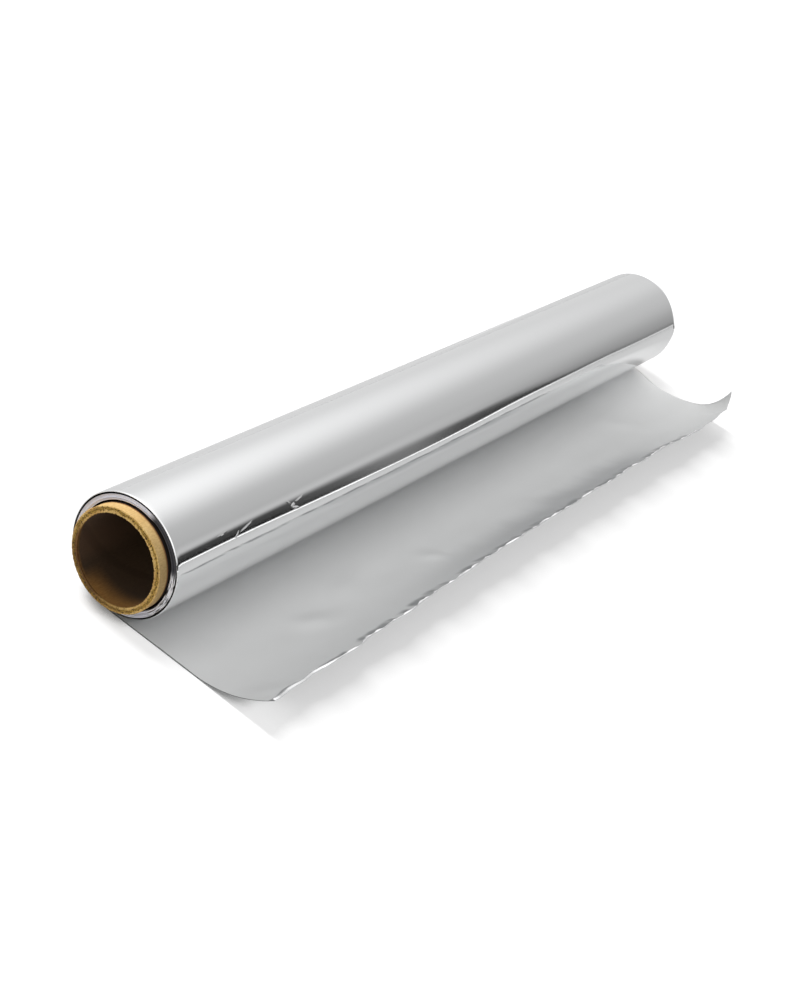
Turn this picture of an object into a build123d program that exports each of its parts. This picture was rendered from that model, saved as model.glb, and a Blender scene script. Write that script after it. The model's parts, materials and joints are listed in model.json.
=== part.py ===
from build123d import *
import math
import os

# A roll of kitchen aluminium foil on a paperboard tube, with a short loose sheet.
# X runs along the roll, with the plain end of the view at -X. The loose sheet lies
# towards -Y, +Z is up, and the origin is the centre of the tube's bore.

# Paperboard tube
tube_outer_radius = 14.5
tube_wall = 1.7
tube_overhang = 3.6
tube_rim_round = 0.25
tube_mouth_chamfer = 0.25

# Wound foil
foil_width = 300.0
winding_thickness = 3.0
winding_clearance = 0.0

# Turns that show on the winding's two ends
turn_pitch = 0.62
turn_groove = 0.2
turn_depth = 0.5
turn_land = 0.3

# Loose sheet: it leaves the roll at the bottom, lies flat, and then curls up. It
# curls less at the near end, sags at one place and turns up at the far corner.
sheet_thickness = 0.3
sheet_flat = 30.0
sheet_curled = 26.0
curl_angle_near = 40.0
curl_angle = 52.0
curl_settles = 0.43
curl_sections = 13
sag_angle = 7.0
sag_place = 112.0
sag_reach = 18.0
curl_angle_far = 75.0
corner_length = 12.5
corner_rise_power = 3
corner_sections = 5

# Torn free edge: two waves of different length
tear_wave = 0.55
tear_wave_length = 31.0
tear_ripple = 0.35
tear_ripple_length = 12.5
tear_step = 3.5

# Far edge of the sheet, torn in past the roll, and further at the tip
far_tear = 3.0
far_tear_sets_in = 4.0
far_tear_ripple = 1.1
far_tear_ripple_length = 25.0
far_tear_deepest = 23.0
far_tear_tip = 1.0
far_tear_points = 21

# What follows from the sizes above
bore_radius = tube_outer_radius - tube_wall
tube_length = foil_width + 2 * tube_overhang
winding_inner_radius = tube_outer_radius + winding_clearance
roll_radius = winding_inner_radius + winding_thickness
near_end = -foil_width / 2
far_end = foil_width / 2
sheet_length = sheet_flat + sheet_curled
tear_margin = 2 * (tear_wave + tear_ripple)


def plane_across(x):
    """The plane across the roll at x, where a sketch's own X is +Y and its Y is +Z."""
    return Plane(origin=(x, 0, 0), x_dir=(0, 1, 0), z_dir=(1, 0, 0))


def ring(outer_radius, inner_radius, start, length):
    """A round pipe along X from start."""
    section = Circle(outer_radius) - Circle(inner_radius)
    return extrude(plane_across(start) * section, length)


def make_tube():
    """The paperboard tube: cut square, its outer rims worn round, its mouths eased."""
    tube = ring(tube_outer_radius, bore_radius, -tube_length / 2, tube_length)
    mouths = tube.edges().filter_by(GeomType.CIRCLE).sort_by(SortBy.RADIUS)[:2]
    tube = chamfer(mouths, tube_mouth_chamfer)
    rims = tube.edges().filter_by(GeomType.CIRCLE).sort_by(SortBy.RADIUS)[-2:]
    return fillet(rims, tube_rim_round)


def spiral_edges(start_radius, half_turns):
    """A spiral of half circles about two centres, which grows by turn_pitch a turn."""
    offset = turn_pitch / 4
    edges = []
    for k in range(half_turns):
        side = -1 if k % 2 == 0 else 1
        radius = start_radius + k * turn_pitch / 2
        centre = side * offset
        start = (0, centre - side * radius)
        middle = (side * radius, centre)
        end = (0, centre + side * radius)
        edges.append(ThreePointArc(start, middle, end))
    return edges


def turns_groove():
    """The flat shape of the groove that winds outwards between the turns."""
    first_radius = winding_inner_radius + turn_land
    room = winding_thickness - 2 * turn_land - turn_groove
    half_turns = 2 * max(1, int(room / turn_pitch))
    inner = spiral_edges(first_radius, half_turns)
    outer = spiral_edges(first_radius + turn_groove, half_turns)
    caps = [Line(inner[0] @ 0, outer[0] @ 0), Line(inner[-1] @ 1, outer[-1] @ 1)]
    return make_face(inner + outer + caps)


def wound_part():
    """The winding and the flat stretch of the sheet that leaves it at the bottom."""
    winding = ring(roll_radius, winding_inner_radius, near_end, foil_width)
    strip_centre = (-sheet_flat / 2, -roll_radius + sheet_thickness / 2)
    strip = Pos(*strip_centre) * Rectangle(sheet_flat, sheet_thickness)
    return winding + extrude(plane_across(near_end) * strip, foil_width)


def smooth_share(value, start, end):
    """0 at start and 1 at end, with a smooth rise between them."""
    share = min(max((value - start) / (end - start), 0), 1)
    return share * share * (3 - 2 * share)


def curl_at(x):
    """The angle that the sheet curls up through at x, in radians."""
    settled = smooth_share(x, near_end, near_end + curl_settles * foil_width)
    sagged = sag_angle * math.exp(-(((x - sag_place) / sag_reach) ** 2))
    angle = curl_angle_near + (curl_angle - curl_angle_near) * settled - sagged
    into_corner = max(0, x - far_end + corner_length) / corner_length
    angle += (curl_angle_far - curl_angle) * min(into_corner, 1) ** corner_rise_power
    return math.radians(angle)


def sheet_point(x, length, depth=0.0):
    """Y and Z of the sheet at x, length past the roll and depth above its underside."""
    radius = sheet_curled / curl_at(x)
    turn = (length - sheet_flat) / radius
    across = -sheet_flat - (radius - depth) * math.sin(turn)
    height = -roll_radius + radius - (radius - depth) * math.cos(turn)
    return (across, height)


def curl_section(x):
    """The sheet's section at x, left long by the margin that is torn off."""
    end = sheet_length + tear_margin
    middle = (sheet_flat + end) / 2
    under = [sheet_point(x, length) for length in (sheet_flat, middle, end)]
    over = [sheet_point(x, length, sheet_thickness) for length in (end, middle, sheet_flat)]
    tip = Line(under[-1], over[0])
    root = Line(over[-1], under[0])
    return plane_across(x) * make_face([ThreePointArc(*under), tip, ThreePointArc(*over), root])


def curled_part():
    """The curled stretch of the sheet, which turns up more at its far corner."""
    corner_start = far_end - corner_length
    step = (corner_start - near_end) / (curl_sections - 1)
    corner_step = corner_length / (corner_sections - 1)
    places = [near_end + i * step for i in range(curl_sections)]
    corner_places = [corner_start + i * corner_step for i in range(corner_sections)]
    main = loft([curl_section(x) for x in places])
    return main + loft([curl_section(x) for x in corner_places])


def tear_line(x):
    """How far the torn edge stands out from its mean line at x."""
    wave = tear_wave * math.sin(2 * math.pi * x / tear_wave_length)
    ripple = tear_ripple * math.sin(2 * math.pi * x / tear_ripple_length + 1)
    return wave + ripple


def tear_cutter():
    """A block square to the sheet's free edge, with the torn edge as its inner side."""
    turn = curl_at(0)
    square = (0, math.sin(turn), math.cos(turn))
    edge = (0, *sheet_point(0, sheet_length))
    sheet_plane = Plane(origin=edge, x_dir=(-1, 0, 0), z_dir=square)
    reach = foil_width / 2 + tear_step
    steps = round(2 * reach / tear_step)
    torn = []
    for i in range(steps + 1):
        x = -reach + 2 * reach * i / steps
        place = sheet_plane.to_local_coords(Vector(x, *sheet_point(x, sheet_length + tear_line(x))))
        torn.append((place.X, place.Y))
    outer = sheet_length
    inner_side = Spline(*torn)
    back = Polyline(inner_side @ 0, (reach, outer), (-reach, outer), inner_side @ 1)
    return extrude(sheet_plane * make_face([inner_side, back]), roll_radius, both=True)


def far_edge_cutter():
    """An upright block beside the loose sheet, with the torn far edge as its side."""
    first, last = -roll_radius - sheet_thickness, -sheet_length
    places = []
    for i in range(far_tear_points):
        share = i / (far_tear_points - 1)
        y = first + (last - first) * share
        past_deepest = (-y - far_tear_deepest) / far_tear_ripple_length
        ripple = far_tear_ripple * math.cos(2 * math.pi * past_deepest)
        begun = smooth_share(y, first, first - far_tear_sets_in)
        tip = far_tear_tip * smooth_share(y, -sheet_flat, last)
        places.append((far_end - begun * (far_tear + ripple) - tip, y))
    torn = Spline(*places)
    outer = far_end + tear_margin
    back = Polyline(torn @ 0, (outer, first), (outer, last), torn @ 1)
    return extrude(Plane.XY * make_face([torn, back]), 2 * roll_radius, both=True)


def make_foil():
    """The foil, one long strip: the winding, its loose sheet and its torn edge."""
    foil = wound_part() + (curled_part() - tear_cutter())
    foil -= far_edge_cutter()
    groove = turns_groove()
    foil -= extrude(plane_across(near_end) * groove, turn_depth)
    foil -= extrude(plane_across(far_end) * groove, -turn_depth)
    return foil


os.makedirs("parts", exist_ok=True)
export_step(make_tube(), "parts/core_tube.step")
export_step(make_foil(), "parts/foil.step")
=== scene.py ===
# %% [markdown]
# # A roll of kitchen foil, piece by piece
#
# Kitchen foil is one long strip of aluminium wound on a paperboard tube. This lesson
# dresses the fixed frame of such a roll: the strip's outer turn and its loose sheet,
# the ends of the inner turns, and the tube. Each step says what the piece is on the
# real object, how it could be made, and why one way was chosen.
#
# The frame comes first, because every piece takes its place from it. Lengths are in
# metres. X runs along the roll, +Z is up, and the loose sheet lies towards -Y.

# %% Load the frame
import json
import math
import bpy
import numpy as np
from mathutils import Matrix, Vector


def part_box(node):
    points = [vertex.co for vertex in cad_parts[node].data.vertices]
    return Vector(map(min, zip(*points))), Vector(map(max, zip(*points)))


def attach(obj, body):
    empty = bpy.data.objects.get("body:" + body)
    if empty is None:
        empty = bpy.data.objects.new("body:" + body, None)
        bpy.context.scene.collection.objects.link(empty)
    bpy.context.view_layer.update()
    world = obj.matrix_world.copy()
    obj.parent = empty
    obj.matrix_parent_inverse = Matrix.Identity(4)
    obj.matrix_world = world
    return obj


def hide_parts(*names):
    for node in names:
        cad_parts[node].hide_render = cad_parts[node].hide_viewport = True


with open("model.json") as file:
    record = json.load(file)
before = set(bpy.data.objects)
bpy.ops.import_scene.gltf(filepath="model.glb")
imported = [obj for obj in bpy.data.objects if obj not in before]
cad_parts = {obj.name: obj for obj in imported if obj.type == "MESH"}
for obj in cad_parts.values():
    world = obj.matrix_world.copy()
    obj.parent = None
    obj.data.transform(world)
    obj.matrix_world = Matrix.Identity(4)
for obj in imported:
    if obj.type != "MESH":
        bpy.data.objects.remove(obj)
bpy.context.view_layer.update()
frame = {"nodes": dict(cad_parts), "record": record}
MM = 0.001
for node in frame["nodes"]:
    low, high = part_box(node)
    print(node, "from", [round(c / MM, 1) for c in low], "to", [round(c / MM, 1) for c in high], "mm")

# %% [markdown]
# ## Sizes that the frame already knows
#
# A scene that repeats sizes by hand drifts away from its model. The roll's radius, its two ends and the
# tube's radii are read from the frame's boxes and from the bore that the record states. Only what the frame
# doesn't hold, such as how the sheet curls between its ends, is a value of this file.

# %% Read the sizes from the frame
foil_low, foil_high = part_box("foil")
tube_low, tube_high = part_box("core_tube")
floor_z = foil_low.z
roll_radius = -foil_low.z
foil_near, foil_far = foil_low.x, foil_high.x
foil_width = foil_far - foil_near
tube_near, tube_far = tube_low.x, tube_high.x
tube_radius = tube_high.y
bore_mount = next(m for m in frame["record"]["mounts"] if m["kind"] == "bore")
bore_radius = bore_mount["dims"]["r_mm"] * MM
print("roll radius", round(roll_radius / MM, 2), "mm, bore radius", bore_radius / MM, "mm")

# %% [markdown]
# ## A helper that turns a grid of points into a mesh
#
# Foil, turns and tube are all surfaces that can be drawn as rows and columns of
# points. Modifiers could build them from a few vertices, but then each dent, tear and
# ply would need its own trick. A grid made by formula keeps every point's place in
# one formula, and numpy works the whole grid out at once. Rows and columns may close
# on themselves, as a tube does. The UV map holds real lengths, so that a finish can
# be scaled in metres.

# %% Grid helper
def grid_faces(rows, columns, close_rows=False, close_columns=False):
    """The quads between neighbouring rows and columns of a grid of points."""
    row_steps = rows if close_rows else rows - 1
    column_steps = columns if close_columns else columns - 1
    i, j = np.meshgrid(np.arange(row_steps), np.arange(column_steps), indexing="ij")
    next_i, next_j = (i + 1) % rows, (j + 1) % columns
    corners = [i * columns + j, i * columns + next_j, next_i * columns + next_j, next_i * columns + j]
    return np.stack(corners, axis=-1).reshape(-1, 4)


# %% Mesh helper
def add_piece(name, points, faces, uv_maps, finishes, finish_of_face=None, round_length=None):
    """A smooth mesh object from arrays of points, faces and the UV maps of the points.

    round_length is the second UV length of one full turn, where the grid closes on itself.
    """
    mesh = bpy.data.meshes.new(name)
    mesh.from_pydata(points.tolist(), [], faces.tolist())
    for map_name, uv in uv_maps.items():
        corners = uv[faces]
        if round_length is not None:
            furthest = corners[..., 1].max(axis=1, keepdims=True)
            corners[..., 1] += round_length * (corners[..., 1] < furthest - round_length / 2)
        layer = mesh.uv_layers.new(name=map_name)
        layer.uv.foreach_set("vector", corners.astype(np.float32).ravel())
    for finish in finishes:
        mesh.materials.append(finish)
    if finish_of_face is not None:
        mesh.polygons.foreach_set("material_index", finish_of_face.astype(np.int32))
    mesh.polygons.foreach_set("use_smooth", np.ones(len(faces), bool))
    mesh.update()
    piece = bpy.data.objects.new(name, mesh)
    bpy.context.scene.collection.objects.link(piece)
    print(name, "has", len(points), "points and", len(faces), "faces")
    return piece


# %% [markdown]
# ## Smooth irregularity without random picks
#
# Thin foil is never quite even. Random numbers would do, but a sum of a few sines of
# unrelated lengths gives the same unevenness on every run, and it can be worked out
# at any point. `drift` is such a sum, between about -1 and 1.

# %% Irregularity helper
def drift(position, length, start=0.0):
    """A smooth uneven wave along position, whose swings are about length long."""
    turns = 2 * math.pi * position / length + start
    return (np.sin(turns) + 0.6 * np.sin(1.73 * turns + 1.3) + 0.4 * np.sin(2.91 * turns + 4.1)) / 2


def smooth_step(value, low, high):
    """0 below low, 1 above high, with a smooth rise between them."""
    share = np.clip((value - low) / (high - low), 0, 1)
    return share * share * (3 - 2 * share)


def bell(value, middle, reach):
    """1 at the middle, falling softly to nearly 0 at twice the reach."""
    return np.exp(-(((value - middle) / reach) ** 2))


# %% [markdown]
# ## Finishes: two sides of one sheet
#
# Household foil is rolled in pairs. The side that touched the steel rolls is bright,
# and the side that touched the other sheet is dull. Here the bright side faces out of
# the roll, so the loose sheet shows its dull side. Both are plain metal, and what
# differs is roughness. The bright side gets its tones from the room alone: an image
# of reflections would look right from one place only. The fine rolling lines, which
# run along the strip, are bump from noise that is stretched along its length.

# %% A new finish and its nodes
def new_finish(name):
    """A material with a bare Principled shader, and short ways to reach its parts."""
    material = bpy.data.materials.new(name)
    material.use_nodes = True
    tree = material.node_tree
    return material, tree, tree.nodes["Principled BSDF"]


def add_node(tree, kind, inputs, **settings):
    """A new node; each input is set to a constant or linked to another node's output."""
    node = tree.nodes.new("ShaderNode" + kind)
    for name, value in settings.items():
        setattr(node, name, value)
    for name, value in inputs.items():
        if isinstance(value, bpy.types.NodeSocket):
            tree.links.new(value, node.inputs[name])
        else:
            node.inputs[name].default_value = value
    return node


# %% UV map, noise and bump
def lengths_map(tree, across, along, name="lengths"):
    """A UV map in metres, scaled to across and along cells a metre."""
    uv = add_node(tree, "UVMap", {}, uv_map=name).outputs["UV"]
    return add_node(tree, "Mapping", {"Vector": uv, "Scale": (across, along, 1)}).outputs["Vector"]


def noise(tree, vector, detail, roughness=0.5):
    """A noise texture's height, on the given coordinates."""
    inputs = {"Vector": vector, "Scale": 1.0, "Detail": detail, "Roughness": roughness}
    return add_node(tree, "TexNoise", inputs).outputs["Fac"]


def bump(tree, height, distance, normal=None):
    """A bump node's normal for a height of distance metres, on top of another normal."""
    node = add_node(tree, "Bump", {"Strength": 1.0, "Distance": distance, "Height": height})
    if normal is not None:
        tree.links.new(normal, node.inputs["Normal"])
    return node.outputs["Normal"]


# %% Numbers worked out by nodes
def reckon(tree, operation, *values):
    """One math node; each value is an output or a number."""
    return add_node(tree, "Math", dict(enumerate(values)), operation=operation).outputs["Value"]


def times(tree, a, b):
    """The product of two outputs or numbers."""
    return reckon(tree, "MULTIPLY", a, b)


def soft_step(tree, value, start, end, at_start=0.0, at_end=1.0):
    """A smooth step from at_start to at_end between two values; end may be the lower one."""
    inputs = {"Value": value, "From Min": start, "From Max": end, "To Min": at_start, "To Max": at_end}
    return add_node(tree, "MapRange", inputs, interpolation_type="SMOOTHSTEP").outputs["Result"]


def parts_of(tree, vector):
    """The X and Y of a vector."""
    split = add_node(tree, "SeparateXYZ", {"Vector": vector})
    return split.outputs["X"], split.outputs["Y"]


def length_of(tree, vector):
    """The length of a vector."""
    return add_node(tree, "VectorMath", {0: vector}, operation="LENGTH").outputs["Value"]


# %% Colours worked out by nodes
def two_tones(tree, value, low, low_colour, high, high_colour):
    """A ramp between two colours."""
    ramp = add_node(tree, "ValToRGB", {"Fac": value})
    for stop, place, colour in zip(ramp.color_ramp.elements, (low, high), (low_colour, high_colour)):
        stop.position, stop.color = place, (*colour, 1)
    return ramp.outputs["Color"]


def blend(tree, kind, share, a, b):
    """A colour mix of a and b, where each is a colour or an output."""
    a, b = ((*tone, 1) if isinstance(tone, tuple) else tone for tone in (a, b))
    inputs = {"Factor": share, "A": a, "B": b}
    return add_node(tree, "Mix", inputs, data_type="RGBA", blend_type=kind).outputs["Result"]


# %% One crease and a foil finish
lowest_angle = -90
# Noise cells a metre, across and along the strip
rolling_lines, tone_patches, foil_grain = (5000, 30), (60, 40), (9000, 5000)


def crease(tree, place, reach, slant):
    """A height of 1 on a thin crease and 0 away from it; lengths in metres on the UV map."""
    local = add_node(tree, "Mapping", {"Vector": lengths_map(tree, 1, 1)}, vector_type="TEXTURE")
    local.inputs["Location"].default_value = (*place, 0)
    local.inputs["Rotation"].default_value = (0, 0, math.radians(slant))
    local.inputs["Scale"].default_value = (*reach, 1)
    return soft_step(tree, length_of(tree, local.outputs["Vector"]), 1, 0)


def make_foil_finish(name, colour, roughness, roughness_swing, line_depth, grain_depth, creases=()):
    """Bare rolled aluminium with lines along the strip and a fine grain."""
    material, tree, shader = new_finish(name)
    shader.inputs["Base Color"].default_value = (*colour, 1)
    shader.inputs["Metallic"].default_value = 1.0
    lines = noise(tree, lengths_map(tree, *rolling_lines), detail=4)
    patches = noise(tree, lengths_map(tree, *tone_patches), detail=2)
    grain = noise(tree, lengths_map(tree, *foil_grain), detail=2)
    rough = reckon(tree, "MULTIPLY_ADD", patches, 2 * roughness_swing, roughness - roughness_swing)
    tree.links.new(rough, shader.inputs["Roughness"])
    normal = bump(tree, grain, grain_depth, normal=bump(tree, lines, line_depth))
    for x, angle, reach, width, slant, height in creases:
        place = (x * MM, -roll_radius * math.radians(angle - lowest_angle))
        ridge = crease(tree, place, (reach * MM, width * MM), slant)
        normal = bump(tree, ridge, height * MM, normal=normal)
    tree.links.new(normal, shader.inputs["Normal"])
    return material, tree, shader


# %% Bright foil
# Each crease on the roll: its place along the roll, its angle from +Y round the roll,
# its two reaches in millimetres, its slant in degrees and its height in millimetres
roll_creases = [
    (-121, 148.5, 3.4, 0.28, 14, 0.05),
    (-125, 151.5, 1.6, 0.30, 40, -0.03),
    (-102, 145.5, 1.8, 0.35, -38, 0.05),
    (-100, 149.5, 1.2, 0.55, 20, -0.07),
    (-97, 146.5, 2.6, 0.30, 12, 0.04),
    (-99, 153.0, 1.8, 0.45, -16, -0.06),
    (-131, 145.5, 2.4, 0.35, 6, 0.03),
]


def make_bright_foil():
    """The side that faces out of the roll: nearly a mirror, a little brushed along the strip."""
    material, tree, shader = make_foil_finish(
        "bright_foil", (0.87, 0.875, 0.88), roughness=0.075, roughness_swing=0.012,
        line_depth=0.4e-6, grain_depth=0.1e-6, creases=roll_creases,
    )
    rolling = add_node(tree, "Tangent", {}, direction_type="UV_MAP", uv_map="lengths")
    tree.links.new(rolling.outputs["Tangent"], shader.inputs["Tangent"])
    shader.inputs["Anisotropic"].default_value = 0.75
    return material


bright_foil = make_bright_foil()
print("bright side:", bright_foil.name, "with", len(roll_creases), "creases")

# %% [markdown]
# ## The dull side's tones
#
# The dull side's tones are painted light and shade: lighter near the roll and at the far end, and darker in
# a band along the free edge, in a shadow line beside the fold of the hem and in a dark line on the near
# edge. An image could hold these tones, but an image has a fixed size and place. Here each tone is a step
# on a UV map, so it follows the sheet when the sheet's sizes change. The map "fold" counts from the edge of
# the hem's flap, in widths of the band of painted shade, and is made together with the strip.

# %% Dull foil
# Painted light: the dull side's colour is lighter near the roll and at the far end.
painted_light_by_roll, painted_light_by_roll_far = (0.80, 0.805, 0.805), (0.95, 0.955, 0.955)
outer_sheet, painted_light_outer_far = (0.69, 0.695, 0.695), (0.745, 0.75, 0.75)
# Painted shade on the dull side: a darker band beside the hem, a shadow line beside its fold and a dark
# line on the near edge.
edge_shade_tone, fold_shadow_tone, near_edge_shade_tone = (0.52, 0.525, 0.53), (0.36, 0.365, 0.37), (0.13, 0.135, 0.135)
outer_begins, far_begins = (14 * MM, 36 * MM), (85 * MM, 140 * MM)
edge_shade_begins, edge_shade_ends, edge_shade_fades = (-90 * MM, 10 * MM), (92 * MM, 62 * MM), (-3.6, -1.4)
fold_line, fold_line_ends = (-1.0, -0.5), (118 * MM, 96 * MM)
line_breaks, line_gaps = 95, (0.43, 0.53)
near_edge_shade_width = (0.42 * MM, 0.18 * MM)


def make_dull_foil():
    """The side that lies inwards: painted lighter near the roll and at the far end, and painted darker
    along the free edge, beside the hem's fold and on the near edge.
    """
    material, tree, shader = make_foil_finish(
        "dull_foil", (0.8, 0.8, 0.8), roughness=0.66, roughness_swing=0.04,
        line_depth=2.0e-6, grain_depth=2.0e-6,
    )
    place_x, place_along = parts_of(tree, lengths_map(tree, 1, 1))
    # Painted light: lighter near the roll and towards the far end.
    far = soft_step(tree, place_x, *far_begins)
    inner_tone = blend(tree, "MIX", far, painted_light_by_roll, painted_light_by_roll_far)
    outer_tone = blend(tree, "MIX", far, outer_sheet, painted_light_outer_far)
    tone = blend(tree, "MIX", soft_step(tree, place_along, *outer_begins), inner_tone, outer_tone)
    fold_x, past_fold = parts_of(tree, lengths_map(tree, 1, 1, "fold"))
    # Painted shade: a darker band beside the hem along the middle of the free edge.
    in_middle = times(tree, soft_step(tree, fold_x, *edge_shade_begins), soft_step(tree, fold_x, *edge_shade_ends))
    edge_shaded = times(tree, soft_step(tree, past_fold, *edge_shade_fades), in_middle)
    tone = blend(tree, "MIX", edge_shaded, tone, edge_shade_tone)
    # Painted shadow: a broken dark line on the dull side just beside the hem's flap.
    broken = soft_step(tree, noise(tree, lengths_map(tree, line_breaks, 0, "fold"), 3), *line_gaps)
    by_fold = times(tree, soft_step(tree, past_fold, *fold_line), broken)
    by_fold = times(tree, by_fold, soft_step(tree, fold_x, *fold_line_ends))
    tone = blend(tree, "MIX", by_fold, tone, fold_shadow_tone)
    # Painted shade: a dark line along the sheet's near edge.
    near_edge_shaded = soft_step(tree, fold_x, *(foil_near + width for width in near_edge_shade_width))
    tone = blend(tree, "MIX", near_edge_shaded, tone, near_edge_shade_tone)
    tree.links.new(tone, shader.inputs["Base Color"])
    return material


dull_foil = make_dull_foil()
print("dull side:", dull_foil.name, "with", len(dull_foil.node_tree.nodes), "nodes")

# %% [markdown]
# ## The strip: outer turn and loose sheet
#
# The last turn of the roll and the loose sheet are one piece of foil. It could be a
# cylinder with a plane joined on, but the join would show as a crease in the bright
# reflection. Instead one grid follows the strip's own length: from the hidden start
# under the roll, once round it, off its lowest line, along the floor and up the curl.
# `strip_place` gives any point by its distance along the strip.

# %% The strip's path
sheet_flat = 30 * MM
sheet_curled = 26 * MM
curl_near, curl_middle, curl_far = (math.radians(v) for v in (40, 52, 75))
curl_settles = 0.43
corner_length, corner_power = 12.5 * MM, 3
sag, sag_place, sag_reach = math.radians(7), 112 * MM, 18 * MM
turn_step = 0.1 * MM
foil_thickness = 0.05 * MM
strip_start = -2 * math.pi * roll_radius
print("the strip runs", round((sheet_flat + sheet_curled - strip_start) / MM), "mm from start to edge")


def curl_at(x):
    """The angle that the loose sheet curls up through at x."""
    share = (x - foil_near) / foil_width
    settled = smooth_step(share, 0, curl_settles)
    sagged = sag * bell(x, sag_place, sag_reach)
    into_corner = np.maximum(0, x - foil_far + corner_length) / corner_length
    corner = (curl_far - curl_middle) * into_corner**corner_power
    return curl_near + (curl_middle - curl_near) * settled - sagged + corner


# %% Slack of the outer turn
# How far the outer turn stands off the winding, in mm, at even places along the roll
slack_heights = [0.09, 0.09, 0.27, 0.39, 0.485, 0.42, 0.265, 0.28, 0.25, 0.385, 0.40]
slack_angle, slack_reach = math.radians(165), math.radians(12)
slack_softening = [step * MM for step in (-12, -6, 0, 6, 12)]
front_round, front_drop, front_sets_in = 0.5 * MM, 0.2 * MM, 3 * MM


def slack(x, turned):
    """How far the outer turn bulges on the front of the roll."""
    across = bell(turned - math.pi / 2, slack_angle, slack_reach)
    places = np.linspace(foil_near, foil_far, len(slack_heights))
    heights = [np.interp(x + step, places, slack_heights) for step in slack_softening]
    return sum(heights) / len(heights) * MM * across


def front_edge(x, along):
    """How far the turn's cut edge is rubbed inwards at the near end."""
    off_edge = np.clip((x - foil_near) / front_round, 0, 1)
    return front_drop * (1 - off_edge) ** 2 * smooth_step(-along, 0, front_sets_in)


def strip_place(x, along):
    """Height and distance of the bright face, and the way that the strip heads there.

    along is 0 on the roll's lowest line, negative on the roll and positive on the sheet.
    """
    turned = np.maximum(-along, 0) / roll_radius
    radius = roll_radius - turn_step * turned / (2 * math.pi) + slack(x, turned) - front_edge(x, along)
    bend = curl_at(x) / sheet_curled
    curled = np.maximum(along - sheet_flat, 0)
    on_floor = np.clip(along, 0, sheet_flat)
    y = radius * np.sin(turned) - on_floor - np.sin(bend * curled) / bend
    z = np.where(along < 0, -radius * np.cos(turned), -roll_radius + (1 - np.cos(bend * curled)) / bend)
    heading = np.where(along < 0, turned, bend * curled)
    return y, z, heading


edge_height = strip_place(0.0, sheet_flat + sheet_curled)[1] - floor_z
print("the middle of the free edge is", round(edge_height / MM, 1), "mm above the floor")


# %% [markdown]
# ## Tear, hem and dents
#
# The free edge was torn off by hand, so its line wanders, and a narrow hem is folded back over the sheet.
# On the hem the bright side faces up and shows as a white glint, and a painted shadow line lies beside it
# on the dull side. A bump can't turn a surface over, so the hem is real geometry: its first rows turn back
# tightly and the rest lie as a flap, whose width drifts along the edge. The loose sheet also has shallow
# dents, and its far edge is torn a little narrower than the roll.

# %% Torn free edge
tear_wave, tear_wave_length = 0.55 * MM, 31 * MM
tear_ripple, tear_ripple_length = 0.35 * MM, 12.5 * MM
tooth_depth, tooth_length = 0.12 * MM, 3.1 * MM


def strip_end(x):
    """The strip's length past the roll at x, up to the fold of its hem."""
    wave = tear_wave * np.sin(2 * math.pi * x / tear_wave_length)
    ripple = tear_ripple * np.sin(2 * math.pi * x / tear_ripple_length + 1)
    teeth = tooth_depth * drift(x, tooth_length)
    return sheet_flat + sheet_curled + wave + ripple + teeth


# %% Hem
hem_bend = 0.22 * MM
hem_flap, hem_least = 0.8 * MM, 0.08 * MM
hem_ends = (108 * MM, 118 * MM)
flap_swing, flap_ripple, ripple_weight = 27 * MM, 7.3 * MM, 1.1
flap_share, corner_share = 0.8, 1.3
corner_flap = (foil_near + 16 * MM, foil_near + 40 * MM)
flap_turn, folded_back = math.radians(132), math.radians(170)
least_step = 1e-7
# How far the band of painted shade beside the hem reaches onto the sheet.
shade_band_least, shade_band_growth, shade_band_grows_over = 1.7 * MM, 3.6 * MM, 90 * MM


def hemmed(x):
    """1 where the edge has a hem, 0 where it was torn plainly."""
    return 1 - smooth_step(x, *hem_ends)


def flap_width(x):
    """The width of the hem's flap at x: uneven, and widest by the near corner."""
    swings = drift(x, flap_swing, 2.0) + ripple_weight * drift(x, flap_ripple)
    share = flap_share * smooth_step(swings, -0.3, 0.4)
    at_corner = corner_share * (1 - smooth_step(x, *corner_flap))
    return hemmed(x) * (hem_least + (hem_flap - hem_least) * np.maximum(share, at_corner))


def shade_band_width(x):
    """How far the painted shade beside the hem reaches onto the sheet; the steeper curl has more."""
    return shade_band_least + shade_band_growth * smooth_step(x, foil_near, foil_near + shade_band_grows_over)


widest_flap = flap_width(np.linspace(foil_near, foil_far, 500)).max()
print("the hem's flap is up to", round(widest_flap / MM, 2), "mm wide")

# %% Far edge
narrowing, narrowing_ripple = 3.0 * MM, 1.1 * MM
narrowing_length, narrowing_deepest = 25 * MM, 23 * MM
narrowing_sets_in, far_edge_reach = (5 * MM, 19 * MM), 26 * MM
narrowing_tip, tip_sets_in = 1.0 * MM, (46 * MM, 56 * MM)


def narrowed(x, along):
    """How far the sheet's far edge is torn in, at a point of the strip."""
    near_far_edge = smooth_step(x, foil_far - far_edge_reach, foil_far)
    begun = smooth_step(along, *narrowing_sets_in)
    tip = narrowing_tip * smooth_step(along, *tip_sets_in)
    ripple = narrowing_ripple * np.cos(2 * math.pi * (along - narrowing_deepest) / narrowing_length)
    return near_far_edge * (begun * (narrowing + ripple) + tip)


# %% Dents and waves of the loose sheet
wave_height, wave_across, wave_along, waves_set_in = 0.10 * MM, 47 * MM, 31 * MM, (4 * MM, 24 * MM)
edge_wave, edge_wave_length, edge_waves_set_in = 0.16 * MM, 26 * MM, (40 * MM, 56 * MM)
dent_strength = 4.0

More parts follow.
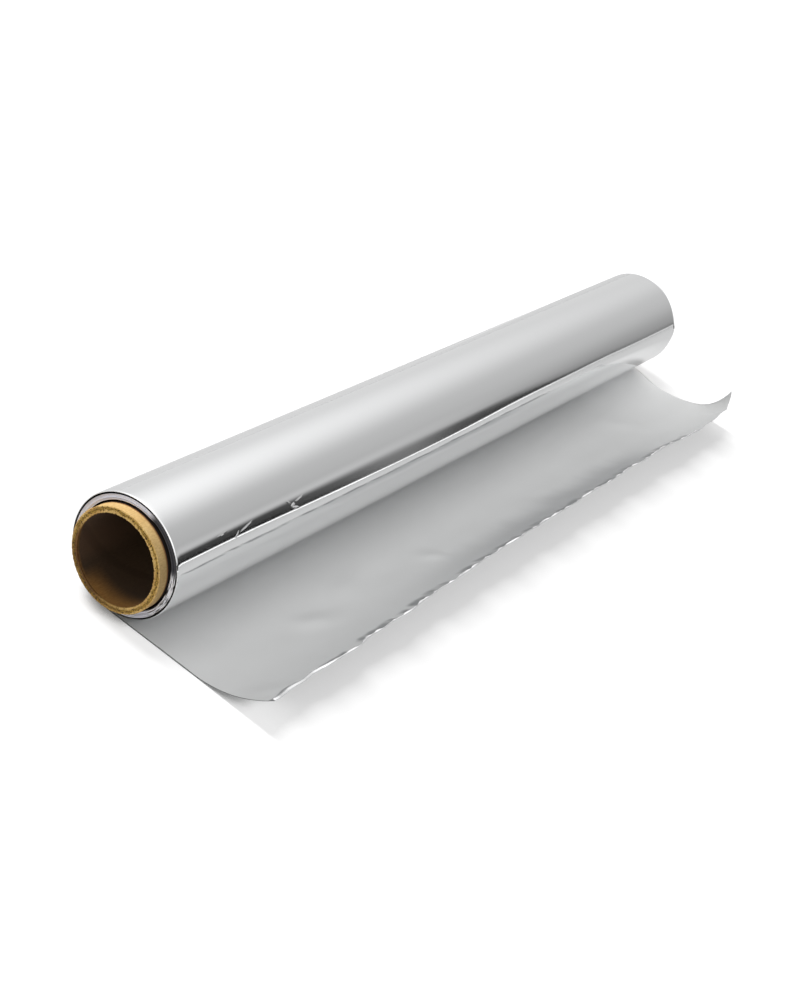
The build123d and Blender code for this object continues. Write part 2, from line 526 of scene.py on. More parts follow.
# Each dent: its place along the roll and along the strip, its two reaches, its height
# and its slant, in millimetres and degrees
dents = [
    (-42, 37, 6, 2.6, 0.13, 35),
    (-37, 40, 4, 2.2, -0.10, 50),
    (-103, 35, 7, 3.0, 0.12, 20),
    (-81, 31, 6, 3.4, 0.09, -15),
    (-143, 51, 6, 4.0, 0.12, 60),
    (18, 44, 14, 4.5, 0.10, 25),
    (66, 38, 11, 5.0, 0.09, -20),
    (103, 30, 10, 4.0, 0.09, 40),
    (146, 12, 13, 7.5, 0.12, 25),
]


def sheet_lift(x, along):
    """How far the loose sheet stands off its smooth path."""
    loose = smooth_step(along, *waves_set_in)
    lift = wave_height * loose * (1 + drift(x, wave_across) * drift(along, wave_along, 1.0))
    for dent_x, dent_along, reach, width, height, slant in dents:
        c, s = math.cos(math.radians(slant)), math.sin(math.radians(slant))
        across, down = x - dent_x * MM, along - dent_along * MM
        u = (c * across + s * down) / (reach * MM)
        v = (c * down - s * across) / (width * MM)
        lift = lift + dent_strength * height * MM * np.exp(-u * u - v * v)
    near_edge = smooth_step(along, *edge_waves_set_in)
    return np.maximum(lift + edge_wave * near_edge * (1 + drift(x, edge_wave_length, 0.6)), 0)


# %% Build the strip
even_columns = 251
turn_rows, sheet_rows, bend_rows, flap_rows = 100, 52, 6, 6
round_columns = 6
front_columns = foil_near + front_round * np.arange(round_columns) / round_columns
xs = np.concatenate([front_columns, np.linspace(foil_near + front_round, foil_far, even_columns)])
ends = strip_end(xs)
on_turn = np.repeat(np.linspace(strip_start, 0, turn_rows)[:, None], len(xs), axis=1)
on_sheet = np.linspace(0, 1, sheet_rows + 1)[1:, None] * ends[None, :]
flat_along = np.vstack([on_turn, on_sheet])
column_x = np.broadcast_to(xs, flat_along.shape)
sheet_x = column_x - narrowed(column_x, flat_along)
y, z, heading = strip_place(column_x, flat_along)
lift = np.where(flat_along > 0, sheet_lift(column_x, flat_along), 0)
y = y + lift * np.sin(heading)
z = z + lift * np.cos(heading)
heading = np.where(flat_along > 0, heading, -heading)
print("the sheet stands up to", round(lift.max() / MM, 2), "mm off its smooth path")


# %% Fold the hem
def fold_hem(y, z, heading):
    """The hem's rows, walked from the fold: places, headings and lengths past the end."""
    bend_steps = [hem_bend / bend_rows * hemmed(xs) + least_step] * bend_rows
    flap_steps = [flap_width(xs) / flap_rows + least_step] * flap_rows
    bend_turns = [(folded_back - heading) * hemmed(xs) / bend_rows] * bend_rows
    flap_turns = [flap_turn * k / flap_rows**2 for k in range(flap_rows)]
    rows, length = [], ends
    for step, turn in zip(bend_steps + flap_steps, bend_turns + flap_turns):
        heading = heading + turn
        y, z = y - step * np.cos(heading), z + step * np.sin(heading)
        length = length + step
        rows.append((y, z, heading, length))
    return [np.stack(parts) for parts in zip(*rows)]


hem_y, hem_z, hem_heading, hem_along = fold_hem(y[-1], z[-1], heading[-1])
y, z, heading = np.vstack([y, hem_y]), np.vstack([z, hem_z]), np.vstack([heading, hem_heading])
along = np.vstack([flat_along, hem_along])
x_grid = np.vstack([sheet_x, np.repeat(sheet_x[-1:], bend_rows + flap_rows, axis=0)])
bright = np.stack([x_grid, y, z], axis=-1)
dull = bright + foil_thickness * np.stack([np.zeros_like(y), np.sin(heading), np.cos(heading)], axis=-1)
print("strip rows", along.shape[0], "columns", along.shape[1])

# %% Close the strip into one thin solid
def close_sheet(front, back):
    """Points and faces of a thin closed solid between two grids of the same shape."""
    rows, columns = front.shape[:2]
    count = rows * columns
    points = np.vstack([front.reshape(-1, 3), back.reshape(-1, 3)])
    front_faces = grid_faces(rows, columns)
    back_faces = front_faces[:, ::-1] + count
    index = np.arange(count).reshape(rows, columns)
    rims = [index[0, ::-1], index[-1], index[:, 0], index[::-1, -1]]
    rim_faces = []
    for rim in rims:
        a, b = rim[:-1], rim[1:]
        rim_faces.append(np.stack([b, a, a + count, b + count], axis=-1))
    faces = np.vstack([front_faces, back_faces, *rim_faces])
    finish = np.zeros(len(faces), np.int32)
    finish[len(front_faces):2 * len(front_faces)] = 1
    return points, faces, finish


points, faces, finish = close_sheet(bright, dull)
past_fold = (along - ends + flap_width(xs)) / shade_band_width(xs)
uv_maps = {
    "lengths": np.tile(np.stack([x_grid, along], axis=-1).reshape(-1, 2), (2, 1)),
    "fold": np.tile(np.stack([x_grid, past_fold], axis=-1).reshape(-1, 2), (2, 1)),
}
strip = add_piece("foil_strip", points, faces, uv_maps, [bright_foil, dull_foil], finish)

# %% [markdown]
# ## The ends of the inner turns
#
# Seen from its end the winding is a ring of hundreds of foil edges. Modelling each
# turn would take millions of faces, and a flat ring with a pattern looks printed. A
# middle way is used: the end is a ring whose height steps in and out along a spiral,
# as turns do that crept sideways while the foil was wound.

# %% Measures of the ends
outer_gap, inner_gap, gap_depth = 0.62 * MM, 0.46 * MM, 0.8 * MM
winding_outer = roll_radius - turn_step
winding_inner = tube_radius + 0.02 * MM
turn_pitch, groove_width, groove_share = 0.31 * MM, 0.16, 1.1
end_recess, end_step, crept_share = 0.10 * MM, 0.11 * MM, 0.6
outer_sides, inner_sides = (0.85 * outer_gap, 1.05 * outer_gap), (0.8 * inner_gap, 1.2 * inner_gap)
closed_angle, closed_reach, closed_share = math.radians(94), math.radians(13), 0.8
# Sides of the ring, in degrees from +Y: painted shade on the deep-set part, and painted glints and shade.
dark_angle, glints_and_shade_angle = 135, 191
dark_recess, recess_sides = 0.3 * MM, (0.85, 0.93)
part_sides = (math.cos(math.radians(34)), math.cos(math.radians(24)))
print("the ring of turn edges is", round((winding_outer - winding_inner) / MM, 2), "mm wide")


# %% Foil edges
def sine_of(tree, value, scale, start):
    """The sine of scale * value + start, as nodes."""
    return reckon(tree, "SINE", reckon(tree, "MULTIPLY_ADD", value, scale, start))


def facing_side(tree, radius, angle, start, end):
    """A share of 1 on the side at an angle from +Y; start and end are cosines."""
    turned = parts_of(tree, lengths_map(tree, 1, 1))[1]
    return soft_step(tree, sine_of(tree, turned, 1 / radius, math.radians(90 - angle)), start, end)


def make_edge_finish():
    """Hundreds of cut foil edges: bright, with painted glints and shade on one side, painted shade on the
    deep-set part and painted black shade in the two gaps.
    """
    material, tree, shader = new_finish("foil_edges")
    shader.inputs["Metallic"].default_value = 1.0
    shader.inputs["Roughness"].default_value = 0.32
    streaks = noise(tree, lengths_map(tree, 5200, 14), detail=5, roughness=0.7)
    ruffled = noise(tree, lengths_map(tree, 3600, 210), detail=4, roughness=0.65)
    tone = two_tones(tree, streaks, 0.36, (0.30, 0.30, 0.33), 0.50, (0.84, 0.85, 0.93))
    painted_glints_and_shade = two_tones(tree, ruffled, 0.43, (0.02, 0.02, 0.022), 0.52, (0.95, 0.95, 0.98))
    painted_recess_shade = two_tones(tree, streaks, 0.38, (0.03, 0.03, 0.035), 0.62, (0.14, 0.14, 0.155))
    # Painted glints and shade on one side of the ring, and painted shade on the deep-set part.
    for angle, part_tone in ((glints_and_shade_angle, painted_glints_and_shade), (dark_angle, painted_recess_shade)):
        part = facing_side(tree, winding_outer, angle, *part_sides)
        tone = blend(tree, "MIX", part, tone, part_tone)
    radius = parts_of(tree, lengths_map(tree, 1, 1))[0]
    # Painted black shade in the gaps beside the outer turn and beside the tube.
    for edge, gap in ((winding_outer, -outer_gap), (winding_inner, inner_gap)):
        in_gap = soft_step(tree, radius, edge + 1.2 * gap, edge + 1.1 * gap)
        tone = blend(tree, "MIX", in_gap, tone, (0.008, 0.008, 0.008))
    tree.links.new(tone, shader.inputs["Base Color"])
    tree.links.new(bump(tree, streaks, 0.06 * MM), shader.inputs["Normal"])
    return material


foil_edges = make_edge_finish()
print("edges:", foil_edges.name, "with", len(foil_edges.node_tree.nodes), "nodes")


# %% Depth of the ends
def end_depth(radius, angle, phase):
    """How far the winding's end lies inside the strip's edge, at a radius and angle."""
    turn = (radius - winding_inner) / turn_pitch - angle / (2 * math.pi)
    groove = bell(turn - np.floor(turn), 0.5, groove_width)
    crept = drift(np.floor(turn), 3.7, phase) + 0.6 * drift(turn, 9.0, phase)
    outer = 1 - smooth_step(winding_outer - radius, *outer_sides)
    outer = outer * (1 - closed_share * bell(angle, closed_angle, closed_reach))
    inner = 1 - smooth_step(radius - winding_inner, *inner_sides)
    deep = dark_recess * smooth_step(np.cos(angle - math.radians(dark_angle)), *recess_sides)
    stepped = end_step * (crept_share * crept + groove_share * groove)
    return end_recess + stepped + gap_depth * (outer + inner) + deep


# %% Build the winding
winding_sides, winding_rings = 192, 72
winding_angles = np.linspace(0, 2 * math.pi, winding_sides + 1)[:-1]
winding_radii = np.linspace(winding_inner, winding_outer, winding_rings)
ring_r, ring_a = np.meshgrid(winding_radii, winding_angles, indexing="xy")
near_x = foil_near + end_depth(ring_r, ring_a, 0.0)
far_x = foil_far - end_depth(ring_r, ring_a, 2.4)
ring_y, ring_z = ring_r * np.cos(ring_a), ring_r * np.sin(ring_a)
near_ring = np.stack([near_x, ring_y, ring_z], axis=-1)
far_ring = np.stack([far_x, ring_y, ring_z], axis=-1)[:, ::-1]
winding_grid = np.concatenate([near_ring, far_ring], axis=1)
ring_uv = np.stack([ring_r, ring_a * winding_outer], axis=-1)
winding_uv = np.concatenate([ring_uv, ring_uv[:, ::-1]], axis=1).reshape(-1, 2)
winding_faces = grid_faces(*winding_grid.shape[:2], close_rows=True, close_columns=True)
winding = add_piece(
    "foil_winding", winding_grid.reshape(-1, 3), winding_faces, {"lengths": winding_uv}, [foil_edges],
    round_length=2 * math.pi * winding_outer,
)

# %% [markdown]
# ## The paperboard tube
#
# The tube is wound from strips of brown board, glued one over another at a slant. Its cut rim is fuzzy and
# shows the plies as rings, and inside, each strip's edge is a faint spiral line. A plain cylinder would
# lose all of that. The tube here is a profile turned round the axis, with the rim's points pushed in and
# out, and the spiral seam is colour alone, because it is only a tenth of a millimetre deep.

# %% The tube's path over the rim
rim_rise, rim_push = 0.12 * MM, 0.10 * MM
rim_flare, flare_length = 0.12 * MM, 0.9 * MM
side_length, lip_depth, mouth_length = 5 * MM, 0.5 * MM, 20 * MM
rim_steps, tube_sides = 22, 480
side_rings, flare_rings, mouth_rings, bore_rings = 8, 6, 18, 10
through = tube_far - tube_near - 2 * rim_rise
print("the bore between the two rims is", round(through / MM, 2), "mm long")


# %% Rings of the tube
def rim_profile(steps):
    """Radius and distance inside the tube's end, from outside to inside over the rim."""
    share = np.linspace(0, 1, steps)
    outer = tube_radius + rim_flare
    radius = outer + (bore_radius - outer) * share
    off_crown = (2 * share - 1) ** 6
    return share, radius, rim_rise * off_crown


def tube_rings():
    """Rings of (radius, x, side, share): over the near rim, through the bore, over the far rim."""
    shares, rim_radius, rim_depth = rim_profile(rim_steps)
    plain_side = np.linspace(side_length, flare_length, side_rings)
    outside = np.concatenate([plain_side, np.linspace(flare_length, 0, flare_rings)[1:-1]])
    mouth = np.linspace(lip_depth, mouth_length, mouth_rings)
    inside = np.concatenate([mouth, np.linspace(mouth_length, through / 2, bore_rings)[1:]])
    flared = rim_flare * np.clip(1 - outside / flare_length, 0, 1) ** 2
    rings = [(tube_radius + out, tube_near + rim_rise + step, 0, 0.0) for step, out in zip(outside, flared)]
    rings += [(r, tube_near + d, 1, share) for share, r, d in zip(shares, rim_radius, rim_depth)]
    rings += [(bore_radius, tube_near + rim_rise + step, 0, 1.0) for step in inside]
    mirrored = [(r, tube_near + tube_far - x, -side, share) for r, x, side, share in reversed(rings)]
    return rings + mirrored[1:]


rings = tube_rings()
path_steps = np.hypot(*np.diff([ring[:2] for ring in rings], axis=0).T)
travelled = np.concatenate([[0.0], np.cumsum(path_steps)])
path_middle = travelled[-1] / 2
print("the tube has", len(rings), "rings, and its path is", round(travelled[-1] / MM), "mm long")


# %% Kraft board
def path_step(tree, start, end, wander=0.0):
    """0 at start and 1 at end, both distances from the middle of the tube's path."""
    along_path = parts_of(tree, lengths_map(tree, 1, 1))[0]
    off_middle = reckon(tree, "ABSOLUTE", reckon(tree, "SUBTRACT", along_path, path_middle))
    return soft_step(tree, reckon(tree, "ADD", off_middle, wander), start, end)


def make_board_finish(name, dark, light, shade, fuzz):
    """Brown board with fibres and mottling; returns what is needed to add to it."""
    material, tree, shader = new_finish(name)
    fibres = noise(tree, lengths_map(tree, 900, 2600), detail=6, roughness=0.7)
    blotches = noise(tree, lengths_map(tree, 190, 150), detail=3)
    colour = two_tones(tree, fibres, 0.32, dark, 0.68, light)
    mottling = two_tones(tree, blotches, 0.36, shade, 0.58, (1, 1, 1))
    shader.inputs["Roughness"].default_value = 0.8
    tree.links.new(bump(tree, fibres, fuzz), shader.inputs["Normal"])
    return material, tree, shader, blend(tree, "MULTIPLY", 0.6, colour, mottling)


# %% The tube's side
# Where the painted shade on the tube's side begins, before it goes into the winding.
painted_shade_begins, painted_black_begins = (0.9 * MM, 0.3 * MM), (0.35 * MM, 0.05 * MM)


def make_side_finish():
    """The tube's outside, with painted shade that turns it dark where it goes into the winding."""
    material, tree, shader, colour = make_board_finish(
        "tube_side", (0.56, 0.37, 0.15), (0.78, 0.56, 0.26), (0.88, 0.80, 0.68), 0.03 * MM
    )
    goes_in = path_middle - side_length + foil_near - tube_near
    brown = path_step(tree, *(goes_in - before for before in painted_shade_begins))
    black = path_step(tree, *(goes_in - before for before in painted_black_begins))
    # Painted shade: dark brown, then black, where the tube goes into the winding.
    colour = blend(tree, "MIX", brown, colour, (0.30, 0.13, 0.05))
    colour = blend(tree, "MIX", black, colour, (0.01, 0.006, 0.004))
    tree.links.new(colour, shader.inputs["Base Color"])
    return material


# %% The cut rim
rim_wander = 0.9 * MM
lip_ends, crest_begins = (0.40 * MM, 0.60 * MM), (1.40 * MM, 1.20 * MM)
# Painted shade on the rim's lower side, and deeper on its inner lip there.
shaded_rim_side, shaded_lip_side, shaded_lip_depth = (300, 0.2, 0.95), (325, 0.45, 0.85), (0.85 * MM, 0.45 * MM)


def make_rim_finish():
    """The cut rim: a bright inner lip and outer crest, darker pitted plies between, and painted shade on
    its lower side and its inner lip there.
    """
    material, tree, shader, colour = make_board_finish(
        "tube_rim", (0.52, 0.31, 0.08), (0.90, 0.65, 0.26), (0.70, 0.52, 0.32), 0.09 * MM
    )
    pits = noise(tree, lengths_map(tree, 2300, 1700), detail=4, roughness=0.75)
    uneven = noise(tree, lengths_map(tree, 260, 420), detail=4, roughness=0.6)
    wander = reckon(tree, "MULTIPLY_ADD", uneven, 2 * rim_wander, -rim_wander)
    from_lip, to_crest, on_lip = (
        path_step(tree, through / 2 + start, through / 2 + end, wander)
        for start, end in (lip_ends, crest_begins, shaded_lip_depth)
    )
    plies = two_tones(tree, pits, 0.42, (0.10, 0.05, 0.008), 0.58, (0.50, 0.31, 0.06))
    colour = blend(tree, "MIX", times(tree, from_lip, to_crest), colour, plies)
    flecks = two_tones(tree, pits, 0.38, (0.16, 0.09, 0.03), 0.46, (1, 1, 1))
    colour = blend(tree, "MULTIPLY", 1.0, colour, flecks)
    # Painted shade: darker on the rim's lower side, and darker still on the inner lip there.
    painted_rim_shade = facing_side(tree, tube_radius, *shaded_rim_side)
    colour = blend(tree, "MULTIPLY", painted_rim_shade, colour, (0.56, 0.51, 0.44))
    painted_lip_shade = times(tree, facing_side(tree, tube_radius, *shaded_lip_side), on_lip)
    colour = blend(tree, "MULTIPLY", painted_lip_shade, colour, (0.36, 0.27, 0.20))
    tree.links.new(colour, shader.inputs["Base Color"])
    return material


# %% The bore
# The seam's pitch, and the lengths over which painted shade darkens the ply, deep in the bore and at its
# mouth.
seam_pitch, shade_deepens_over = 62 * MM, 9 * MM
mouth_shade_span = (0.2 * MM, -1.4 * MM)
# Sides with a little painted light deep inside, and where the painted shade sets in slowly.
lit_side, slow_shade_side = (0, 0.7, 0.97), (257, 0.5, 0.92)


def make_bore_finish():
    """The inner ply: tan at the mouth, with painted shade that darkens it further in, slowly on the lower
    side and soon elsewhere, and a little painted light deep inside on the +Y side.
    """
    material, tree, shader = new_finish("inner_ply")
    fibres = noise(tree, lengths_map(tree, 700, 2200), detail=5, roughness=0.7)
    along_path, turned = parts_of(tree, lengths_map(tree, 1, 1))
    # Painted shade: darker further into the bore, and a little painted light deep inside on the +Y side.
    inside = path_step(tree, through / 2, through / 2 - shade_deepens_over)
    near_mouth = path_step(tree, *(through / 2 + past for past in mouth_shade_span))
    mouth = two_tones(tree, fibres, 0.3, (0.30, 0.13, 0.03), 0.7, (0.48, 0.25, 0.07))
    deep = two_tones(tree, fibres, 0.3, (0.046, 0.027, 0.014), 0.7, (0.076, 0.046, 0.025))
    deep = blend(tree, "MIX", facing_side(tree, tube_radius, *lit_side), deep, (0.12, 0.068, 0.038))
    darkened = blend(tree, "MIX", facing_side(tree, tube_radius, *slow_shade_side), near_mouth, inside)
    colour = blend(tree, "MIX", darkened, mouth, deep)
    winds = reckon(tree, "MULTIPLY_ADD", turned, seam_pitch / (2 * math.pi * tube_radius), along_path)
    seam = sine_of(tree, winds, 2 * math.pi / seam_pitch, 0.6)
    seam_line = two_tones(tree, seam, 0.975, (1, 1, 1), 0.995, (0.82, 0.80, 0.78))
    tree.links.new(blend(tree, "MULTIPLY", 1.0, colour, seam_line), shader.inputs["Base Color"])
    shader.inputs["Roughness"].default_value = 0.85
    tree.links.new(bump(tree, fibres, 0.08 * MM), shader.inputs["Normal"])
    return material


# %% Wear of the rim
ply_depth, middle_depth, fray_depth, fibre_depth = 0.07 * MM, 0.14 * MM, 0.09 * MM, 0.07 * MM
notch_depth, notch_angle, notch_reach = 0.25 * MM, math.radians(42), 0.05
lip_reach, lip_rise, inner_fray, outer_fray = 0.10, 0.06 * MM, 0.16 * MM, 0.14 * MM


def rim_wear(angle, share, phase):
    """How far the fuzzy rim is pushed in at an angle, and how far it frays inwards."""
    plies = ply_depth * (1 + np.cos(6 * math.pi * share)) * (share * (1 - share)) * 4
    frayed = drift(angle, 0.21, phase) + 0.7 * drift(angle, 0.047, phase + share * 3)
    fibres = drift(angle, 0.031, phase + share * 9) * drift(angle, 0.23, phase + share * 4)
    notched = notch_depth * bell(angle, notch_angle, notch_reach)
    pushed = plies + middle_depth * bell(share, 0.5, 0.2) + notched + fibre_depth * fibres
    pushed = pushed + fray_depth * frayed * (0.4 + share)
    inner_lip, outer_lip = bell(share, 0.95, lip_reach), bell(share, 0, lip_reach)
    ragged = drift(angle, 0.083, phase + 2) + 0.5 * drift(angle, 0.031, phase + 5)
    inwards = inner_fray * inner_lip * (0.7 + ragged)
    inwards = inwards + outer_fray * outer_lip * (0.5 + 0.5 * drift(angle, 0.11, phase + 4))
    return np.clip(pushed + rim_push - lip_rise * inner_lip, 0, None), inwards


# %% Build the tube
tube_angles = np.linspace(0, 2 * math.pi, tube_sides + 1)[:-1]
tube_grid = np.zeros((len(rings), tube_sides, 3))
tube_uv = np.stack(np.broadcast_arrays(travelled[:, None], tube_angles * tube_radius), axis=-1)
for k, (radius, x, side, share) in enumerate(rings):
    pushed, inwards = rim_wear(tube_angles, share, 1.0 + side) if side else (0, 0)
    ring_radius = radius - inwards
    tube_grid[k, :, 0] = x + side * pushed
    tube_grid[k, :, 1] = ring_radius * np.cos(tube_angles)
    tube_grid[k, :, 2] = ring_radius * np.sin(tube_angles)
side_board = make_side_finish()
rim_board = make_rim_finish()
inner_ply = make_bore_finish()
tube_faces = grid_faces(len(rings), tube_sides, close_rows=True, close_columns=True)
finish_of_ring = [1 if side else (2 if share else 0) for _, _, side, share in rings]
tube = add_piece(
    "paper_tube", tube_grid.reshape(-1, 3), tube_faces, {"lengths": tube_uv.reshape(-1, 2)},
    [side_board, rim_board, inner_ply], np.repeat(finish_of_ring, tube_sides),
    round_length=2 * math.pi * tube_radius,
)

# %% [markdown]
# ## Put the pieces on the roll's body and hide the plain solids
#
# The plain solids stay in the physics, and these pieces take their place in the
# picture. All of them ride on the one body that the roll has.

# %% Hand the pieces to the frame
for piece, node, slot in (
    (strip, "foil", "foil"),
    (winding, "foil", "foil"),
    (tube, "core_tube", "paperboard"),
):
    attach(piece, "root")
    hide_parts(node)

# %% [markdown]
# ## Floor
#
# The roll lies on a white table. The floor is a large plain sheet just under it. A
# camera sees it as white, because a little light of its own is added for camera rays,
# while it still catches the roll's soft shadow. Rays that a mirror or glass sends out
# get a smaller share of it, so the foil shows the table as a pale grey. By the roll's
# two ends both get a little more, because the shadow is faint there, and far away the
# table turns plain white. That light would also fill the narrow gap under the roll,
# where a real table is dark, so it is taken away where something nearly touches the
# floor, except by the far end.

# %% Make the floor
table_half_size, table_drop, table_grey = 1.5, 0.03 * MM, (0.47, 0.47, 0.47, 1)
camera_glow, mirror_glow, end_glow, touch_reach = 0.47, 0.09, 0.14, 5 * MM
by_the_ends, beside_roll = (130 * MM, 150 * MM), (200 * MM, 165 * MM)
table_whitens, by_far_end, touch_sides = (0.4, 1.2), (60 * MM, 130 * MM), (0.2, 0.65)


def make_floor():
    """A white table under the roll."""
    corners = np.array([(-1, -1), (1, -1), (1, 1), (-1, 1)]) * table_half_size
    points = np.column_stack([corners, np.full(4, floor_z - table_drop)])
    material, tree, shader = new_finish("table_white")
    shader.inputs["Base Color"].default_value = table_grey
    shader.inputs["Roughness"].default_value = 0.9
    shader.inputs["Specular IOR Level"].default_value = 0.0
    place = lengths_map(tree, 1, 1)
    place_x, off_roll = parts_of(tree, place)[0], length_of(tree, place)
    end_share = times(tree, soft_step(tree, reckon(tree, "ABSOLUTE", place_x), *by_the_ends), end_glow)
    to_camera = reckon(tree, "ADD", soft_step(tree, off_roll, *table_whitens, camera_glow, 1.0), end_share)
    to_mirror = reckon(
        tree, "MULTIPLY_ADD", end_share, soft_step(tree, off_roll, *beside_roll), mirror_glow
    )
    path = add_node(tree, "LightPath", {})
    mirrored = reckon(tree, "MAXIMUM", path.outputs["Is Glossy Ray"], path.outputs["Is Transmission Ray"])
    mirrored_glow = times(tree, mirrored, to_mirror)
    lift = reckon(tree, "MULTIPLY_ADD", path.outputs["Is Camera Ray"], to_camera, mirrored_glow)
    touched = add_node(tree, "AmbientOcclusion", {"Distance": touch_reach}, samples=4)
    untouched = soft_step(tree, touched.outputs["AO"], *touch_sides)
    open_share = reckon(tree, "MAXIMUM", untouched, soft_step(tree, place_x, *by_far_end))
    glow = add_node(tree, "Emission", {"Strength": times(tree, lift, open_share)})
    add = add_node(tree, "AddShader", {0: shader.outputs["BSDF"], 1: glow.outputs["Emission"]})
    tree.links.new(add.outputs["Shader"], tree.nodes["Material Output"].inputs["Surface"])
    floor = add_piece("table", points, np.array([[0, 1, 2, 3]]), {"lengths": corners}, [material])
    return floor


floor = make_floor()

# %% [markdown]
# ## Light
#
# Metal shows what stands around it, so the surroundings are half of its look. The
# room is painted as a soft gradient in the world: brighter towards +Y and above,
# darker towards -Y, with a near-black strip low on that side, which is the unlit end
# of the room beyond the table. The roll shows that strip as a dark line along its
# front. A few patches of wall are lifted by their direction, which is how a painter
# would place reflectors round a mirror. Two lamps give the shadows a direction: a
# long soft one above and a weak one beyond the near end. Both are hidden from
# mirrors, so they leave no bright patch on the foil, and the room's own light on
# matte surfaces is lowered to make up for them. A camera that looks past the table
# sees the room as plain white.

# %% The room and its helpers
world = bpy.data.worlds.new("room")
bpy.context.scene.world = world
world.use_nodes = True
sky = world.node_tree
background = sky.nodes["Background"]


def sky_math(operation, *values):
    """One math node in the room's tree."""
    return reckon(sky, operation, *values)


def sky_step(value, start, end, at_start=0.0, at_end=1.0):
    """A smooth step in the room's tree."""
    return soft_step(sky, value, start, end, at_start, at_end)


def towards(azimuth, elevation):
    """The unit vector at an angle from +X towards +Y, and above the floor."""
    a, e = math.radians(azimuth), math.radians(elevation)
    return (math.cos(a) * math.cos(e), math.sin(a) * math.cos(e), math.sin(e))


def off_direction(place, azimuth, elevation):
    """The angle between a direction of the room and the given one."""
    inputs = {0: place, 1: towards(azimuth, elevation)}
    along = add_node(sky, "VectorMath", inputs, operation="DOT_PRODUCT")
    return sky_math("ARCCOSINE", along.outputs["Value"])


# %% The unlit end of the room
# A darker line low in it: its darkness, its heights and where it sets in along X
line_darkness, line_heights, line_ends = 0.095, (0.085, 0.035), (0.800, 0.785)
unlit_side = (-0.25, -0.4)

# Each place: direction along X, darkness, height of its top and softness
unlit_end = [
    (0.720, 0.90, 0.178, 0.040),
    (0.754, 0.90, 0.200, 0.045),
    (0.775, 0.84, 0.188, 0.060),
    (0.786, 0.74, 0.185, 0.060),
    (0.797, 0.48, 0.178, 0.055),
    (0.807, 0.42, 0.176, 0.055),
    (0.816, 0.70, 0.165, 0.040),
    (0.825, 0.84, 0.152, 0.027),
    (0.833, 0.85, 0.145, 0.027),
    (0.841, 0.88, 0.134, 0.040),
    (0.848, 0.94, 0.085, 0.030),
    (0.855, 0.93, 0.052, 0.022),
    (0.861, 0.80, 0.045, 0.022),
    (0.867, 0.54, 0.050, 0.030),
    (0.874, 0.38, 0.045, 0.030),
    (0.880, 0.25, 0.050, 0.030),
]


def across_room(along_x, column):
    """One column of the table above, read at a direction along X."""
    first, last = unlit_end[0][0], unlit_end[-1][0]
    share = sky_math("DIVIDE", sky_math("SUBTRACT", along_x, first), last - first)
    ramp = add_node(sky, "ValToRGB", {"Fac": share})
    stops = ramp.color_ramp.elements
    for row in unlit_end[1:-1]:
        stops.new((row[0] - first) / (last - first))
    for stop, row in zip(stops, unlit_end):
        stop.color = (row[column], row[column], row[column], 1)
    return sky_math("ADD", ramp.outputs["Color"], 0.0)


def far_end_of_room(along_x, side, height):
    """How much darker the room is where it ends unlit, low on the -Y side."""
    darkness, top, softness = (across_room(along_x, column) for column in (1, 2, 3))
    into = sky_math("DIVIDE", sky_math("SUBTRACT", top, height), softness)
    line = times(sky, sky_step(height, *line_heights, 0, line_darkness), sky_step(along_x, *line_ends))
    dark = times(sky, sky_math("ADD", darkness, line), sky_step(into, -1, 1))
    return times(sky, dark, sky_step(side, *unlit_side))


# %% Paint the room
wall_slope, wall_level = 0.23, 0.62
# Each reflector: its azimuth and elevation, its reach in degrees and its brightness
reflectors = [(60, 64.5, 58, 0.98), (-108, 44, 50, 1.1)]
far_side_dimmed, far_side_begins, far_side_heights = 0.485, (0, -0.25), (0.406, -0.1)
low_wall_glow, low_wall_heights = 0.16, (0.36, 0.22)
low_wall_along, low_wall_side = (0.87, 0.77), (-0.3, -0.5)
table_heights, table_side = (0.014, 0.007), (0, -0.3)
table_along, table_near, table_far = (0.83, 0.865), 1.6, 0.78
matte_lowered = 0.65


def paint_room():
    """The room's brightness by direction, as nodes."""
    place = add_node(sky, "TexCoord", {}).outputs["Generated"]
    split = add_node(sky, "SeparateXYZ", {"Vector": place})
    along_x, side, height = split.outputs["X"], split.outputs["Y"], split.outputs["Z"]
    lit = sky_math("ADD", times(sky, side, wall_slope), wall_level)
    for azimuth, elevation, reach, glow in reflectors:
        off_reflector = off_direction(place, azimuth, elevation)
        lit = sky_math("ADD", lit, sky_step(off_reflector, math.radians(reach), 0, 0, glow))
    far_side = sky_step(side, *far_side_begins, 0, far_side_dimmed)
    dimmed = times(sky, far_side, sky_step(height, *far_side_heights))
    room = times(sky, lit, sky_math("SUBTRACT", 1.0, dimmed))
    front_part = times(sky, sky_step(along_x, *low_wall_along), sky_step(side, *low_wall_side))
    low_wall = sky_step(height, *low_wall_heights, 0, low_wall_glow)
    room = sky_math("ADD", room, times(sky, low_wall, front_part))
    beyond = far_end_of_room(along_x, side, height)
    room = times(sky, room, sky_math("SUBTRACT", 1.0, beyond))
    table_share = times(sky, sky_step(height, *table_heights), sky_step(side, *table_side))
    table_light = sky_step(along_x, *table_along, table_near, table_far)
    far_table = times(sky, sky_math("SUBTRACT", table_light, room), table_share)
    return sky_math("ADD", room, far_table)


def by_kind_of_ray(strength, share):
    """The room's light on matte surfaces is lowered, and a camera sees the room as white."""
    path = add_node(sky, "LightPath", {})
    left = sky_math("SUBTRACT", 1.0, times(sky, path.outputs["Is Diffuse Ray"], share))
    return sky_math("MAXIMUM", times(sky, strength, left), path.outputs["Is Camera Ray"])


background.inputs["Color"].default_value = (1, 1, 1, 1)
sky.links.new(by_kind_of_ray(paint_room(), matte_lowered), background.inputs["Strength"])
print("the room is painted with", len(sky.nodes), "nodes")

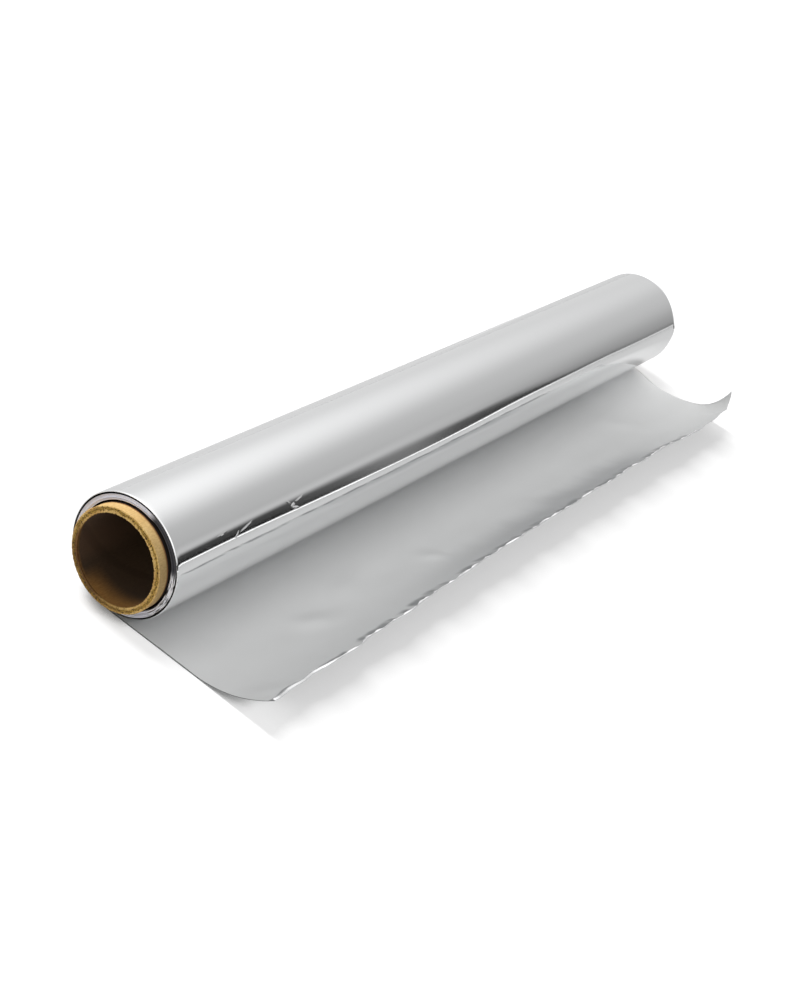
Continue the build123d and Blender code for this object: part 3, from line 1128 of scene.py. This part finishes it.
# %% Hang the lamps
def hang_lamp(name, azimuth, elevation, distance, width, height, power):
    """A soft rectangular lamp that points at the roll's middle."""
    light = bpy.data.lights.new(name, "AREA")
    light.shape = "RECTANGLE"
    light.size, light.size_y = width, height
    light.energy = power
    lamp = bpy.data.objects.new(name, light)
    lamp.location = Vector(towards(azimuth, elevation)) * distance
    lamp.rotation_mode = "QUATERNION"
    lamp.rotation_quaternion = lamp.location.to_track_quat("Z", "Y")
    lamp.visible_glossy = False
    bpy.context.scene.collection.objects.link(lamp)
    return lamp


soft_lamp = hang_lamp("soft_lamp", azimuth=89, elevation=58, distance=2.4, width=0.38, height=1.8, power=60)
side_lamp = hang_lamp("side_lamp", azimuth=182, elevation=22, distance=2.4, width=0.9, height=0.9, power=18)
print("lamps at", [[round(c, 2) for c in lamp.location] for lamp in (soft_lamp, side_lamp)], "m")

# %% [markdown]
# ## Camera
#
# The camera was solved from the photograph: its place, its aim and its long lens make
# the roll's two rims, the tube and the sheet's corners fall where they are there. The
# picture is rolled by some degrees, so the aim is given as a full rotation.

# %% Place the camera
camera_target = Vector((-45.56, -20.90, -5.04)) * MM
camera_azimuth, camera_elevation, camera_roll = -67.355, 30.389, 22.606
camera_distance = 539.2 * MM
focal_share = 1805.44 / 1000


def place_camera():
    """The camera at the photograph's viewing angle."""
    a, e, r = (math.radians(v) for v in (camera_azimuth, camera_elevation, camera_roll))
    back = Vector((math.sin(a) * math.cos(e), -math.cos(a) * math.cos(e), math.sin(e)))
    level = Vector((math.cos(a), math.sin(a), 0))
    upright = back.cross(level)
    right = math.cos(r) * level + math.sin(r) * upright
    up = math.cos(r) * upright - math.sin(r) * level
    camera = bpy.data.objects.new("camera", bpy.data.cameras.new("camera"))
    camera.matrix_world = Matrix.Translation(camera_target + back * camera_distance) @ Matrix(
        (right, up, back)
    ).transposed().to_4x4()
    camera.data.sensor_width = 36
    camera.data.lens = focal_share * camera.data.sensor_width
    camera.data.clip_start = 0.01
    bpy.context.scene.collection.objects.link(camera)
    bpy.context.scene.camera = camera
    return camera


camera = place_camera()
camera_place = [round(c / MM) for c in camera.matrix_world.translation]
print("camera at", camera_place, "mm, with a lens of", round(camera.data.lens, 1), "mm")

# %% Colour
bpy.context.scene.view_settings.view_transform = "Standard"
